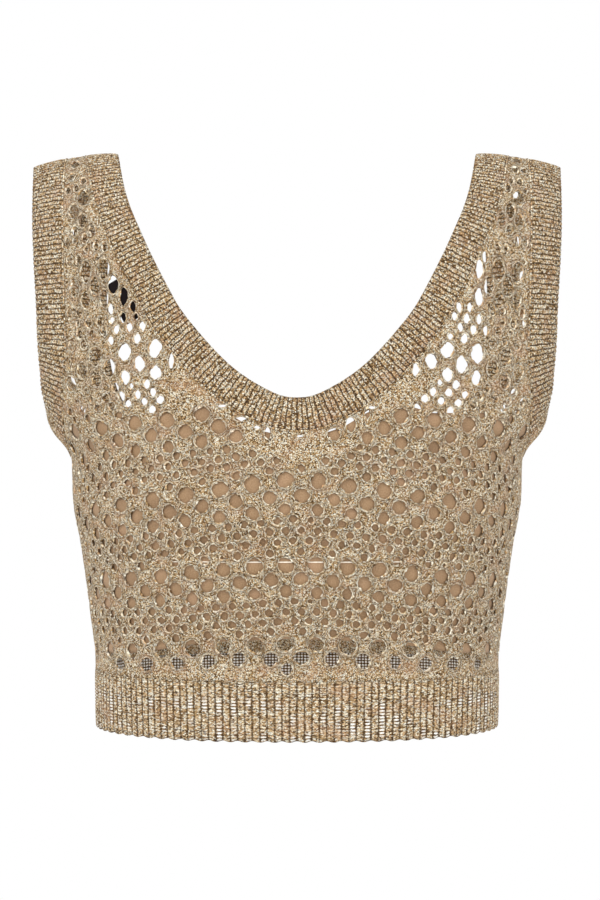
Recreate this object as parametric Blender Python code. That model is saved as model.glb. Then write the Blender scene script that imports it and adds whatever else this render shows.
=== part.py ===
"""A sleeveless cropped knit top in openwork lace, in the hollow shape it has when worn.

Metres, +Z up. The front faces -Y and the wearer's right arm is at -X. The origin lies
midway between the inner ends of the two shoulder seams, where the top hangs.

The whole garment lies on one smooth form, half of which is described by two lengths:
how far round from the centre line a point is (across) and how high it is (height).
Every piece is a region of that form: the front and back lace, the ribbed neckband,
the two ribbed armhole bands, the ribbed hem, the lining behind the front and the tab.
"""
import math
from collections import namedtuple

import bpy
import bmesh
import numpy as np
from mathutils import Vector
from mathutils.geometry import delaunay_2d_cdt, interpolate_bezier

MM = 0.001


def table(columns, *rows):
    """Rows of sizes whose columns have names."""
    row_type = namedtuple("Row", columns)
    return tuple(row_type(*row) for row in rows)


# ---- Driving sizes, in millimetres -------------------------------------------------

SEAM_GAP = 0.3              # between two pieces that are sewn together
LACE_THICK = 1.5            # knit lace wall
BAND_THICK = 1.3            # ribbed band, measured in the grooves
RIB_RISE = 0.9              # how far a rib stands above the grooves
LINING_THICK = 1.0
LINING_CLEAR = 1.0          # between the lace and the lining behind it
NECKBAND_WIDTH = 22.0
ARMBAND_WIDTH = 24.0
BAND_RIB_PITCH = 8.0        # one rib of the neck and armhole bands, along the edge
RIB_GROOVE = 0.30           # share of the pitch that the groove takes
HEM_RIBS = 18               # on each half of the front and of the back
HEM_BOTTOM = -397.0
HEM_TOP = -358.0

SHOULDER_FOOT = -110.0      # height where the form starts to curve over the shoulder
SHOULDER_INNER = 126.0      # half the distance between the necks of the straps
SHOULDER_FALL = 0.0027      # of the shoulder seam, by the square of the distance outward
SHOULDER_ROUNDNESS = 2.4    # power of the superellipse that the shoulder follows
STRAP_MIDDLE = 155.0        # the strap line along which heights are measured

# The form's cross-sections. Roundness is the power of the superellipse: 2 is an
# ellipse, more is boxier.
SECTIONS = table(
    "height half_width front_depth back_depth roundness",
    (-400, 140.0, 101, 97, 2.30),
    (-350, 140.5, 104, 96, 2.30),
    (-317, 144.0, 108, 97, 2.35),
    (-275, 149.5, 115, 99, 2.40),
    (-240, 155.5, 119, 103, 2.40),
    (-214, 156.5, 118, 106, 2.30),
    (-206, 159.5, 117, 107, 2.25),
    (-195, 168.5, 116, 107, 2.20),
    (-178, 179.5, 114, 107, 2.12),
    (-160, 190.0, 111, 106, 2.06),
    (-136, 201.0, 107, 105, 2.02),
    (-105, 211.0, 102, 102, 2.00),
    (-60, 216.0, 93, 95, 2.00),
    (-25, 210.0, 84, 87, 2.00),
    (0, 198.0, 76, 80, 2.00),
)

# Free edge of the neckband, from the shoulder seam down to the centre. The shoulder
# seam's own height is written as None.
FRONT_NECK = table(
    "half_width height",
    (SHOULDER_INNER, None), (116.5, -26), (103.5, -62), (86, -97), (72, -119), (44, -149.5),
    (17, -167), (0, -171),
)
BACK_NECK = table(
    "half_width height",
    (SHOULDER_INNER, None), (131, -10), (137, -50), (140, -100), (138, -140), (126, -175),
    (95, -197), (46, -206), (0, -207),
)

# Free edge of the armhole bands, from the shoulder seam down to the underarm. At the
# underarm it meets the side of the form, so that half width is written as None.
FRONT_ARMHOLE = table(
    "half_width height",
    (184, None), (181.5, -26), (179.5, -63), (177, -105), (174.5, -137), (174.5, -164),
    (172, -182), (None, -193),
)
BACK_ARMHOLE = table(
    "half_width height",
    (184, None), (186, -26), (188, -63), (188, -105), (186, -137), (181, -164),
    (174, -182), (None, -193),
)

# The lace repeats from the top down: a row of large eyelets at its start, two rows of
# smaller ones below it, then plain net. The rows dip towards the sides, and spread says
# how their eyelets part there. Start is how far from the middle, in pitches, the first
# large eyelet lies. The straps are pulled long and narrow, so their eyelets are closer
# together, and height over width is their stretch.
LACE_ROWS = table(
    "centre_height side_dip pitch spread start stretch",
    (-25.0, 8, 13.0, 0.0, 0.5, 1.9),
    (-76.0, 15, 14.1, 0.0, 0.5, 1.9),
    (-129.0, 20, 21.7, 0.0, 0.5, 1.3),
    (-176.0, 20, 21.4, 0.0026, 0.0, 1.0),
    (-224.0, 26, 21.2, 0.0026, 0.5, 1.0),
    (-279.5, 16, 20.2, 0.0026, 0.5, 1.0),
    (-331.5, 11, 20.2, 0.0026, 0.5, 1.0),
    (-383.0, 6, 20.2, 0.0026, 0.5, 1.0),
)
DIP_POWER = 1.2             # how much of a row's dip lies near the sides
LACE_MIDDLE = 3.0           # how far the pattern's middle lies to the wearer's left
EYELETS = table(
    "share_of_repeat column_shift radius on_front on_back",
    (0.0, 0.0, 5.1, True, True),
    (0.185, 0.5, 4.4, True, False),
    (0.34, 0.0, 3.9, True, False),
)
# Plain points between the rows, which keep the net on the form's curve.
NET_POINTS = table("share_of_repeat column_shift", (0.55, 0.5), (0.80, 0.0))
EYELET_SIDES = 6
EYELET_MARGIN = 2.8         # least lace between an eyelet and a seam
NET_MARGIN = 6.0            # least lace between a plain point and a seam
EDGE_STEP = 4.0             # between the points from which the seams are worked out
SIDE_STEP = 12.0            # between the lace's points down the side seam
SEAM_STEP = 2.0             # the length over which a seam's direction is read
REACH_TRIES = 5             # enough for a seam's distance to settle
ROW_TRIES = 4               # enough for a dipping row's height to settle
CURVE_STEPS = 24            # fine points between two points of a table
ON_CENTRE = 0.01            # a point nearer than this lies on the centre line

LINING_TOP = table("across height", (0, -197), (24, -193), (36, -189), (52, -181), (66, -176), (84, -176),
                   (104, -181), (200, -181))
LINING_BOTTOM = table("across height", (0, -329), (60, -332), (110, -341), (150, -344), (200, -345))
LINING_INSET = 1.2          # from the seams that hold its sides
LINING_STEP = 15.0          # between the points round its edge
LINING_COLUMN = 19.0        # between its inner points, across and down: close together
LINING_ROW = 8.5            # down, where the form flares to the underarm

TAB_WIDTH = 15.0
TAB_LENGTH = 30.0
TAB_THICK = 0.8
TAB_TOP = -88.0
TAB_INSET = 1.0             # from the neckband's seam
TAB_CLEAR = 0.35            # behind the lace

SHARP_ANGLE = math.radians(40)


# ---- The form ------------------------------------------------------------------------

def smooth_column(rows, column, at):
    """A smooth curve through one column of a table, read at the heights given."""
    heights = np.array([row.height for row in rows], float)
    values = np.array([getattr(row, column) for row in rows], float)
    steps = np.diff(values) / np.diff(heights)
    # Slopes are the harmonic means of their neighbours, so that nothing overshoots.
    slopes = np.zeros(len(rows))
    same_way = steps[1:] * steps[:-1] > 0
    inner = np.zeros(len(steps) - 1)
    inner[same_way] = 2 / (1 / steps[1:][same_way] + 1 / steps[:-1][same_way])
    slopes[1:-1] = inner
    slopes[0], slopes[-1] = steps[0], steps[-1]
    at = np.clip(at, heights[0], heights[-1])
    cell = np.clip(np.searchsorted(heights, at) - 1, 0, len(rows) - 2)
    width = heights[cell + 1] - heights[cell]
    t = (at - heights[cell]) / width
    return (values[cell] * (1 + 2 * t) * (1 - t) ** 2 + slopes[cell] * width * t * (1 - t) ** 2
            + values[cell + 1] * t * t * (3 - 2 * t) + slopes[cell + 1] * width * t * t * (t - 1))


def shoulder_height(half_width):
    """Height of the shoulder seam above the origin, at a distance from the centre."""
    return -SHOULDER_FALL * np.maximum(half_width - SHOULDER_INNER, 0) ** 2


class HalfForm:
    """The right half of the front or of the back, as a surface of (across, height).

    Above SHOULDER_FOOT the form leans in over the shoulder as a quarter superellipse,
    and height goes on as length along the cloth, up to the shoulder seam at self.top.
    """

    ANGLES = np.linspace(0, math.pi / 2, 73)
    HEIGHT_STEP = 2.0
    LEAN_STEPS = 48

    def __init__(self, depth_column):
        self.depth_column = depth_column
        self.crown = shoulder_height(STRAP_MIDDLE) - SHOULDER_FOOT
        below = np.arange(SECTIONS[0].height, SHOULDER_FOOT, self.HEIGHT_STEP)
        lean = np.linspace(0, math.pi / 2, self.LEAN_STEPS + 1)
        rise, thin = self.lean_over(lean)
        level = SHOULDER_FOOT + self.crown * rise
        half_width, depth, power = self.section(level)
        share = np.clip(STRAP_MIDDLE / half_width, 0, 1)
        strap_depth = depth * thin * (1 - share ** power) ** (1 / power)
        run = np.hypot(np.diff(level), np.diff(strap_depth))
        self.heights = np.concatenate([below, SHOULDER_FOOT + np.concatenate([[0], np.cumsum(run)])])
        self.leans = np.concatenate([np.zeros(len(below)), lean])
        self.levels = np.concatenate([below, level])
        self.top = self.heights[-1]
        self.round_table = np.array([self.round_lengths(h) for h in self.heights])

    @staticmethod
    def lean_over(lean):
        """How much of the shoulder's height and of its depth an angle of lean leaves."""
        cos = np.cos(lean)
        power = 2 / SHOULDER_ROUNDNESS
        return np.sin(lean) ** power, np.sign(cos) * np.abs(cos) ** power

    def section(self, level):
        """Half width, depth and roundness of the cross-sections at some levels."""
        columns = ("half_width", self.depth_column, "roundness")
        return tuple(smooth_column(SECTIONS, column, level) for column in columns)

    def place(self, angle, height):
        """The point at an angle round from the centre, as x, depth and z."""
        # Past the shoulder seam the form goes on, mirrored, into the other half.
        beyond = np.maximum(height - self.top, 0)
        folded = height - 2 * beyond
        lean = np.interp(folded, self.heights, self.leans)
        level = np.interp(folded, self.heights, self.levels)
        side = np.where(beyond > 0, -1.0, 1.0)
        half_width, depth, power = self.section(level)
        sin, cos = np.sin(angle), np.cos(angle)
        x = half_width * np.sign(sin) * np.abs(sin) ** (2 / power)
        thin = self.lean_over(lean)[1]
        depth = depth * thin * side * np.sign(cos) * np.abs(cos) ** (2 / power)
        rise = (shoulder_height(np.abs(x)) - SHOULDER_FOOT) / self.crown
        z = np.where(level > SHOULDER_FOOT, SHOULDER_FOOT + rise * (level - SHOULDER_FOOT), level)
        return np.stack([x, depth, z], axis=-1)

    def round_lengths(self, height):
        points = self.place(self.ANGLES, np.full(len(self.ANGLES), height))
        steps = np.linalg.norm(np.diff(points[:, :2], axis=0), axis=1)
        return np.concatenate([[0], np.cumsum(steps)])

    def lengths_at(self, height):
        """Lengths round the section at one height, for each of ANGLES."""
        cell = int(np.clip(np.searchsorted(self.heights, height) - 1, 0, len(self.heights) - 2))
        share = (height - self.heights[cell]) / (self.heights[cell + 1] - self.heights[cell])
        share = min(max(share, 0), 1)
        return (1 - share) * self.round_table[cell] + share * self.round_table[cell + 1]

    def girth(self, height):
        """Length round from the centre line to the side, at one height."""
        return self.lengths_at(height)[-1]

    def across_at_width(self, half_width, height):
        """How far round the point lies that is half_width from the centre."""
        level = np.interp(height, self.heights, self.levels)
        widest, _, power = self.section(np.array([level]))
        angle = math.asin(min(half_width / widest[0], 1) ** (power[0] / 2))
        return float(np.interp(angle, self.ANGLES, self.lengths_at(height)))

    def point(self, across, height, out=0.0):
        """A point of the form, moved out from it by so many millimetres."""
        angle = float(np.interp(abs(across), self.lengths_at(height), self.ANGLES))
        small_angle, small_height = 0.004, 0.4
        around = self.place(np.array([angle, angle - small_angle, angle + small_angle, angle, angle]),
                            np.array([height, height, height, height - small_height, height + small_height]))
        normal = np.cross(around[4] - around[3], around[2] - around[1])
        if angle < small_angle:
            normal[0] = 0
        normal /= np.linalg.norm(normal)
        x, depth, z = around[0] + out * normal
        return math.copysign(1, across) * x, depth, z


FRONT = HalfForm("front_depth")
BACK = HalfForm("back_depth")


def world(form, across, height, out=0.0):
    """A point of the front or back form in metres."""
    x, depth, z = form.point(across, height, out)
    return Vector((x, -depth if form is FRONT else depth, z)) * MM


# ---- Flat curves on the form -------------------------------------------------------

def spline(points, spacing):
    """A smooth flat curve through the points, level at its far end, evenly spaced."""
    points = [Vector(p) for p in points]
    ends = [2 * points[0] - points[1]] + points
    mirrored = points[-2].copy()
    mirrored.x = 2 * points[-1].x - mirrored.x
    ends.append(mirrored)
    fine = []
    for before, start, end, after in zip(ends, ends[1:], ends[2:], ends[3:]):
        first, last = (end - before) / 6, (after - start) / 6
        fine += interpolate_bezier(start, start + first, end - last, end, CURVE_STEPS)[:-1]
    fine.append(points[-1])
    return resample(fine, spacing)


def resample(fine, spacing):
    """The same polyline with evenly spaced points."""
    lengths = [0.0]
    for a, b in zip(fine, fine[1:]):
        lengths.append(lengths[-1] + (b - a).length)
    count = max(2, round(lengths[-1] / spacing))
    at = np.linspace(0, lengths[-1], count + 1)
    return [Vector((np.interp(t, lengths, [p.x for p in fine]), np.interp(t, lengths, [p.y for p in fine])))
            for t in at]


def neck_edge(form, neck, spacing):
    """The neckline's free edge as (across, height), from the shoulder to the centre."""
    rows = [(w, form.top if h is None else h) for w, h in neck]
    return spline([(form.across_at_width(w, h), h) for w, h in rows], spacing)


def armhole_edge(form, spacing):
    """The armhole's free edge as (across, height), from the shoulder to the underarm."""
    armhole = FRONT_ARMHOLE if form is FRONT else BACK_ARMHOLE
    rows = [(w, form.top if h is None else h) for w, h in armhole]
    return spline([(form.girth(h) if w is None else form.across_at_width(w, h), h) for w, h in rows], spacing)


def inner_edge(form, edge, width, towards_centre):
    """The line beside an edge, the same width away from it everywhere along the cloth.

    It lies on the side of the cloth: towards the centre of an armhole's edge, and away
    from the centre of a neckline's.
    """
    turn = 1 if towards_centre else -1
    moved = []
    for i, point in enumerate(edge):
        ahead = edge[min(i + 1, len(edge) - 1)] - edge[max(i - 1, 0)]
        normal = turn * Vector((ahead.y, -ahead.x)).normalized()
        if i == 0:
            normal = Vector((-turn, 0))
        elif i == len(edge) - 1:
            # Down the centre line, or down the side seam.
            sideways = form.girth(point.y - SEAM_STEP) - form.girth(point.y) if towards_centre else 0
            normal = Vector((sideways, -SEAM_STEP)).normalized()
        start = np.array(form.point(*point))
        reach = width
        for _ in range(REACH_TRIES):
            target = point + normal * reach
            reach *= width / np.linalg.norm(np.array(form.point(*target)) - start)
        target = point + normal * reach
        if i == len(edge) - 1 and towards_centre:
            target.x = form.girth(target.y)
        moved.append(target)
    return moved


# ---- Building solids ---------------------------------------------------------------

def material(name, colour, roughness, metallic=0.0):
    found = bpy.data.materials.get(name)
    if found:
        return found
    made = bpy.data.materials.new(name)
    made.use_nodes = True
    shader = made.node_tree.nodes["Principled BSDF"]
    shader.inputs["Base Color"].default_value = (*colour, 1)
    shader.inputs["Roughness"].default_value = roughness
    shader.inputs["Metallic"].default_value = metallic
    return made


YARN = dict(name="marled_yarn", colour=(0.36, 0.27, 0.17), roughness=0.75, metallic=0.0)
JERSEY = dict(name="tan_jersey", colour=(0.24, 0.15, 0.09), roughness=0.7, metallic=0.0)
BLACK_SATIN = dict(name="black_satin", colour=(0.01, 0.01, 0.012), roughness=0.5, metallic=0.0)


def finish(name, bm, finish_of, collection):
    """Turns a bmesh into a named object with its faces pointing out."""
    bmesh.ops.recalc_face_normals(bm, faces=bm.faces)
    mesh = bpy.data.meshes.new(name)
    bm.to_mesh(mesh)
    bm.free()
    mesh.shade_smooth()
    mesh.set_sharp_from_angle(angle=SHARP_ANGLE)
    mesh.materials.append(material(**finish_of))
    made = bpy.data.objects.new(name, mesh)
    collection.objects.link(made)
    return made


def inside(point, outline):
    """Whether a flat point lies inside a closed outline."""
    odd = False
    for a, b in zip(outline, outline[1:] + outline[:1]):
        if (a.y > point.y) != (b.y > point.y):
            if point.x < a.x + (point.y - a.y) / (b.y - a.y) * (b.x - a.x):
                odd = not odd
    return odd


def distance_to(point, outline):
    """Least distance from a flat point to a closed outline."""
    least = math.inf
    for a, b in zip(outline, outline[1:] + outline[:1]):
        along = b - a
        t = min(max((point - a).dot(along) / max(along.length_squared, 1e-9), 0), 1)
        least = min(least, (point - a - along * t).length)
    return least


def mirrored(half):
    """A closed outline from its right half, which runs from the centre to the centre."""
    return half + [Vector((-p.x, p.y)) for p in reversed(half) if p.x > ON_CENTRE]


def cloth_wall(form, outline, holes, extra, outer, thickness):
    """A wall of cloth on the form: the outline, less the holes, with a plain inside."""
    flat = list(outline)
    edges = [(i, (i + 1) % len(outline)) for i in range(len(outline))]
    owner = [None] * len(outline)
    for number, hole in enumerate(holes):
        start = len(flat)
        flat += hole
        owner += [number] * len(hole)
        edges += [(start + i, start + (i + 1) % len(hole)) for i in range(len(hole))]
    flat += extra
    owner += [None] * len(extra)
    verts, _, faces, original, _, _ = delaunay_2d_cdt(flat, edges, [], 1, 1e-4)
    bm = bmesh.new()
    across = bm.verts.layers.float.new("across")
    height = bm.verts.layers.float.new("height")
    made = []
    for v in verts:
        vert = bm.verts.new(world(form, v.x, v.y, outer))
        vert[across], vert[height] = v.x, v.y
        made.append(vert)
    source = [owner[ids[0]] if ids else None for ids in original]
    for face in faces:
        holes_touched = {source[i] for i in face}
        if len(holes_touched) == 1 and None not in holes_touched:
            continue
        middle = sum((verts[i] for i in face), Vector((0, 0))) / len(face)
        if inside(middle, outline):
            bm.faces.new([made[i] for i in face])
    loose = [v for v in bm.verts if not v.link_faces]
    bmesh.ops.delete(bm, geom=loose, context="VERTS")
    # The inside of the wall is the same sheet again, moved in.
    doubled = bmesh.ops.extrude_face_region(bm, geom=bm.faces[:], use_keep_orig=True)
    for item in doubled["geom"]:
        if isinstance(item, bmesh.types.BMVert):
            item.co = world(form, item[across], item[height], outer - thickness)
    return bm


# ---- Lace --------------------------------------------------------------------------

def row_height(row, across, girth):
    """Height of a lace row, which dips from the centre to the side."""
    share = min(abs(across) / girth, 1)
    return row.centre_height - row.side_dip * math.sin(math.pi / 2 * share ** DIP_POWER)


def between(upper, lower, share):
    """A row of lace part of the way from one row down to the next.

    The eyelets at the start of a repeat keep to the columns of its first row.
    """
    kept = EYELETS[-1].share_of_repeat
    turned = max(share - kept, 0) / (1 - kept)
    row = upper._make(a + (b - a) * turned for a, b in zip(upper, lower))
    height, dip = (a + (b - a) * share for a, b in zip(upper[:2], lower[:2]))
    return row._replace(centre_height=height, side_dip=dip, start=upper.start)


def row_points(form, row, shift, outline, margin):
    """Places along one row that lie inside the outline, in steps that widen sideways."""
    found = []
    column = (row.start + shift) % 1
    across = 0
    while across < form.girth(row.centre_height):
        across = row.pitch * column * (1 + row.spread * column ** 2)
        for side in ((1, -1) if column else (1,)):
            spot = Vector((side * across + LACE_MIDDLE, row.centre_height))
            for _ in range(ROW_TRIES):
                spot.y = row_height(row, spot.x, form.girth(spot.y))
            if inside(spot, outline) and distance_to(spot, outline) > margin:
                found.append(spot)
        column += 1
    return found


def eyelets(form, outline):
    """The eyelets cut through one panel, each as a small polygon."""
    holes = []
    for upper, lower in zip(LACE_ROWS, LACE_ROWS[1:]):
        for share, shift, radius, on_front, on_back in EYELETS:
            if not (on_front if form is FRONT else on_back):
                continue
            row = between(upper, lower, share)
            half_high = radius * math.sqrt(row.stretch)
            half_wide = radius / math.sqrt(row.stretch)
            for spot in row_points(form, row, shift, outline, half_wide + EYELET_MARGIN):
                turns = (2 * math.pi * (k + 0.5) / EYELET_SIDES for k in range(EYELET_SIDES))
                holes.append([spot + Vector((half_wide * math.cos(a), half_high * math.sin(a))) for a in turns])
    return holes


def net_points(form, outline, margin):
    """Points in the plain net, which keep the wall on the form's curve."""
    found = []
    for upper, lower in zip(LACE_ROWS, LACE_ROWS[1:]):
        for share, shift in NET_POINTS:
            found += row_points(form, between(upper, lower, share), shift, outline, margin)
    return found


def short_of_seams(form, across, height):
    """A flat point, kept half a gap short of the shoulder seam and the side seam."""
    height = min(height, form.top - SEAM_GAP / 2)
    return Vector((min(across, form.girth(height) - SEAM_GAP / 2), height))


class Band:
    """Half of a ribbed band on the form, with its ribs spread evenly along it.

    The free edge runs from the shoulder seam to the centre or the underarm. Lines beside
    it, each a set width away, are read at the same marks, so that what is sewn to the
    band has its points opposite the band's grooves.
    """

    def __init__(self, form, edge, width, towards_centre):
        self.form, self.edge, self.towards_centre = form, edge, towards_centre
        seam = inner_edge(form, edge, width, towards_centre)
        middle = [(world(form, *a) + world(form, *b)) / (2 * MM) for a, b in zip(edge, seam)]
        steps = [(b - a).length for a, b in zip(middle, middle[1:])]
        self.lengths = np.concatenate([[0], np.cumsum(steps)])
        self.marks = rib_marks(self.lengths[-1], BAND_RIB_PITCH)
        self.width = width
        self.free = self.read(0.0, self.marks)
        self.seam = self.read(width, self.marks)

    def read(self, width, marks):
        """The line at one width from the free edge, at the marks."""
        line = inner_edge(self.form, self.edge, width, self.towards_centre) if width else self.edge
        xs, ys = [p.x for p in line], [p.y for p in line]
        places = [(np.interp(at, self.lengths, xs), np.interp(at, self.lengths, ys)) for at, _ in marks]
        points = [short_of_seams(self.form, across, height) for across, height in places]
        # The ends lie right against the shoulder seam, and the side seam or centre line.
        points[0].y = self.form.top - SEAM_GAP / 2
        end = self.form.girth(points[-1].y) - SEAM_GAP / 2
        points[-1].x = end if self.towards_centre else 0
        return points

    def beside(self, gap):
        """The line of what is sewn to the band, opposite each of its grooves."""
        grooves = [mark for mark in self.marks if mark[1] == "groove"]
        return self.read(self.width + gap, grooves)


def neck_half(form, neck):
    return Band(form, neck_edge(form, neck, EDGE_STEP), NECKBAND_WIDTH, False)


def armhole_half(form):
    return Band(form, armhole_edge(form, EDGE_STEP), ARMBAND_WIDTH, True)


def side_line(form, start, end, inset, step):
    """Points down the side seam, set in from it, after start and down to end."""
    rows = max(2, round((start - end) / step))
    heights = [start + (end - start) * k / rows for k in range(1, rows + 1)]
    return [Vector((form.girth(h) - inset, h)) for h in heights]


def panel_outline(form, neck):
    """The right half of a lace panel: neck seam, shoulder, armhole, side and hem."""
    neck_line = neck_half(form, neck).beside(SEAM_GAP)
    arm_line = armhole_half(form).beside(SEAM_GAP)
    bottom = HEM_TOP + SEAM_GAP
    side = side_line(form, arm_line[-1].y, bottom, SEAM_GAP / 2, SIDE_STEP)
    half = neck_line[::-1] + arm_line + side
    return half + [Vector((half[-1].x * (1 - k / HEM_RIBS), bottom)) for k in range(1, HEM_RIBS + 1)]


def lace_panel(name, form, neck, collection):
    outline = mirrored(panel_outline(form, neck))
    holes = eyelets(form, outline)
    print(name, "eyelets", len(holes))
    extra = net_points(form, outline, NET_MARGIN)
    finish(name, cloth_wall(form, outline, holes, extra, 0.0, LACE_THICK), YARN, collection)
    return len(holes)


# ---- Ribbed bands ------------------------------------------------------------------

def rib_marks(length, pitch):
    """Where the grooves and the ribs' crests lie along a length, and their kinds."""
    ribs = max(1, round(length / pitch))
    step = length / ribs
    marks = []
    for k in range(ribs):
        marks += [(k * step, "groove"), ((k + RIB_GROOVE) * step, "crest"),
                  ((k + 1 - RIB_GROOVE) * step, "crest")]
    return marks + [(length, "groove")]


def ribbed_strip(name, form, marks, free, seam, collection):
    """A ribbed band between two lines of flat points, one pair for each mark.

    The ribs run across the band. Each has a groove and a flat crest outside, and one
    plain point inside.
    """
    bm = bmesh.new()
    outer, inner = [], []
    for (_, kind), edge, sewn in zip(marks, free, seam):
        rise = RIB_RISE if kind == "crest" else 0.0
        outer.append([bm.verts.new(world(form, p.x, p.y, rise)) for p in (edge, sewn)])
        plain = kind == "groove"
        inner.append([bm.verts.new(world(form, p.x, p.y, -BAND_THICK)) for p in (edge, sewn)] if plain else None)
    for (a, b), (c, d) in zip(outer, outer[1:]):
        bm.faces.new((a, c, d, b))
    grooves = [i for i, pair in enumerate(inner) if pair]
    for a, b in zip(grooves, grooves[1:]):
        bm.faces.new((inner[a][0], inner[a][1], inner[b][1], inner[b][0]))
        for edge in (0, 1):
            bm.faces.new([outer[i][edge] for i in range(a, b + 1)] + [inner[b][edge], inner[a][edge]])
    for end in (grooves[0], grooves[-1]):
        bm.faces.new((outer[end][0], outer[end][1], inner[end][1], inner[end][0]))
    bmesh.ops.triangulate(bm, faces=bm.faces)
    return finish(name, bm, YARN, collection)


def flipped(points):
    return [Vector((-p.x, p.y)) for p in points]


def neckband(name, form, neck, collection):
    """The neckband from shoulder seam to shoulder seam, with a groove at the centre."""
    half = neck_half(form, neck)
    marks = half.marks + half.marks[-2::-1]
    free, seam = (line + flipped(line[-2::-1]) for line in (half.free, half.seam))
    ribbed_strip(name, form, marks, free, seam, collection)


def armhole_band(name, form, side, collection):
    """Half of an armhole band, from the shoulder seam to the underarm."""
    half = armhole_half(form)
    free, seam = (line if side > 0 else flipped(line) for line in (half.free, half.seam))
    ribbed_strip(name, form, half.marks, free, seam, collection)


def hem_band(name, form, collection):
    """The ribbed hem of the front or back, from side seam to side seam."""
    marks = rib_marks(2 * HEM_RIBS, 1)
    low, high = (form.girth(height) - SEAM_GAP / 2 for height in (HEM_BOTTOM, HEM_TOP))
    shares = [at / HEM_RIBS - 1 for at, _ in marks]
    free = [Vector((low * share, HEM_BOTTOM)) for share in shares]
    seam = [Vector((high * share, HEM_TOP)) for share in shares]
    ribbed_strip(name, form, marks, free, seam, collection)


# ---- Lining and tab ----------------------------------------------------------------

def read_line(line, across):
    """The height of a line from a table, at one distance from the centre."""
    return float(np.interp(across, [row.across for row in line], [row.height for row in line]))


def lining(name, collection):
    """The plain jersey behind the front, from below the neckband to above the hem."""
    form = FRONT
    band = armhole_half(form)
    armhole = band.beside(SEAM_GAP + LINING_INSET)
    held = [p for p in armhole if p.y < read_line(LINING_TOP, p.x)]
    held[-1].x = form.girth(held[-1].y) - LINING_INSET
    reach = held[0].x
    columns = round(reach / LINING_STEP)
    half = [Vector((reach * k / columns, read_line(LINING_TOP, reach * k / columns))) for k in range(columns)]
    half += held
    low_side = read_line(LINING_BOTTOM, form.girth(LINING_BOTTOM[-1].height))
    half += side_line(form, held[-1].y, low_side, LINING_INSET, LINING_STEP)
    columns = round(half[-1].x / LINING_STEP)
    low = [half[-1].x * (1 - k / columns) for k in range(1, columns + 1)]
    half += [Vector((across, read_line(LINING_BOTTOM, across))) for across in low]
    outline = mirrored(half)
    # A line of points inside the armhole's edge follows the flare under the arm.
    flare = band.beside(SEAM_GAP + LINING_INSET + LINING_ROW)
    near = [p for p in flare if inside(p, outline) and distance_to(p, outline) > LINING_ROW / 2]
    extra = near + flipped(near)
    widest = max(p.x for p in half)
    for height in np.arange(LINING_TOP[-1].height, LINING_BOTTOM[-1].height, -LINING_ROW):
        for across in np.arange(-widest, widest, LINING_COLUMN):
            spot = Vector((across, height))
            clear = all((spot - p).length > LINING_ROW / 2 for p in extra)
            if clear and inside(spot, outline) and distance_to(spot, outline) > LINING_ROW / 2:
                extra.append(spot)
    wall = cloth_wall(form, outline, [], extra, -LACE_THICK - LINING_CLEAR, LINING_THICK)
    finish(name, wall, JERSEY, collection)


def neck_tab(name, collection):
    """The plain tab behind the lace of the right strap, beside the neckband."""
    form = FRONT
    seam = neck_half(form, FRONT_NECK).beside(SEAM_GAP)
    top = min(seam, key=lambda p: abs(p.y - TAB_TOP))
    low = min(seam, key=lambda p: abs(p.y - TAB_TOP + TAB_LENGTH))
    down = (low - top).normalized()
    out = Vector((-down.y, down.x))
    corner = top + out * TAB_INSET
    places = [(i / 2, j / 2) for j in range(3) for i in range(3)]
    grid = [corner + out * TAB_WIDTH * u + down * TAB_LENGTH * v for u, v in places]
    grid = flipped(grid)
    ring = [grid[i] for i in (0, 1, 2, 5, 8, 7, 6, 3)]
    wall = cloth_wall(form, ring, [], [grid[4]], -LACE_THICK - TAB_CLEAR, TAB_THICK)
    finish(name, wall, BLACK_SATIN, collection)


def main():
    for old in list(bpy.data.objects):
        bpy.data.objects.remove(old)
    top = bpy.data.collections.new("knit_top")
    bpy.context.scene.collection.children.link(top)
    lace_panel("lace_front", FRONT, FRONT_NECK, top)
    lace_panel("lace_back", BACK, BACK_NECK, top)
    neckband("neckband_front", FRONT, FRONT_NECK, top)
    neckband("neckband_back", BACK, BACK_NECK, top)
    for side, word in ((-1, "right"), (1, "left")):
        armhole_band(f"armband_{word}_front", FRONT, side, top)
        armhole_band(f"armband_{word}_back", BACK, side, top)
    hem_band("hem_rib_front", FRONT, top)
    hem_band("hem_rib_back", BACK, top)
    lining("lining_front", top)
    neck_tab("neck_tab", top)


main()
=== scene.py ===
# %% [markdown]
# # A cropped top in openwork lace knit
#
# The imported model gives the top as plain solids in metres: two lace panels, ribbed bands,
# a lining and a tab, the front facing -Y. This lesson dresses each as real knitting, so
# the first step is to load them and to keep their box for later.

# %% Load the solids
import math

import bpy
import numpy as np
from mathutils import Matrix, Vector
from mathutils.geometry import delaunay_2d_cdt, interpolate_bezier
from mathutils.kdtree import KDTree


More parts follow.
